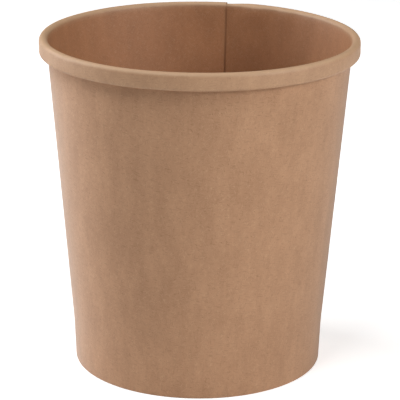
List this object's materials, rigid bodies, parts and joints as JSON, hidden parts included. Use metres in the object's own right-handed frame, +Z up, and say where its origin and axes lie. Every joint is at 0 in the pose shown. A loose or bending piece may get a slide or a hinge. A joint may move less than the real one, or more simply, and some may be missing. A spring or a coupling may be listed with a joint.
{
  "type": "paper soup bowl",
  "caption": "Round kraft board soup bowl, tapered, with a rolled rim, a lapped side seam and a recessed base.",
  "frame": {"origin": "centre of the foot's ring, on the surface that the bowl stands on", "axes": "+Z up the bowl's axis to the open rim; the picture looks along +Y, with +X to its right"},
  "size_m": [0.098, 0.098, 0.1035],
  "materials": {
    "wall_board": "matte",
    "base_board": "matte"
  },
  "bodies": {
    "root": {"side_wall": "wall_board", "base_disc": "base_board"}
  },
  "joints": []
}
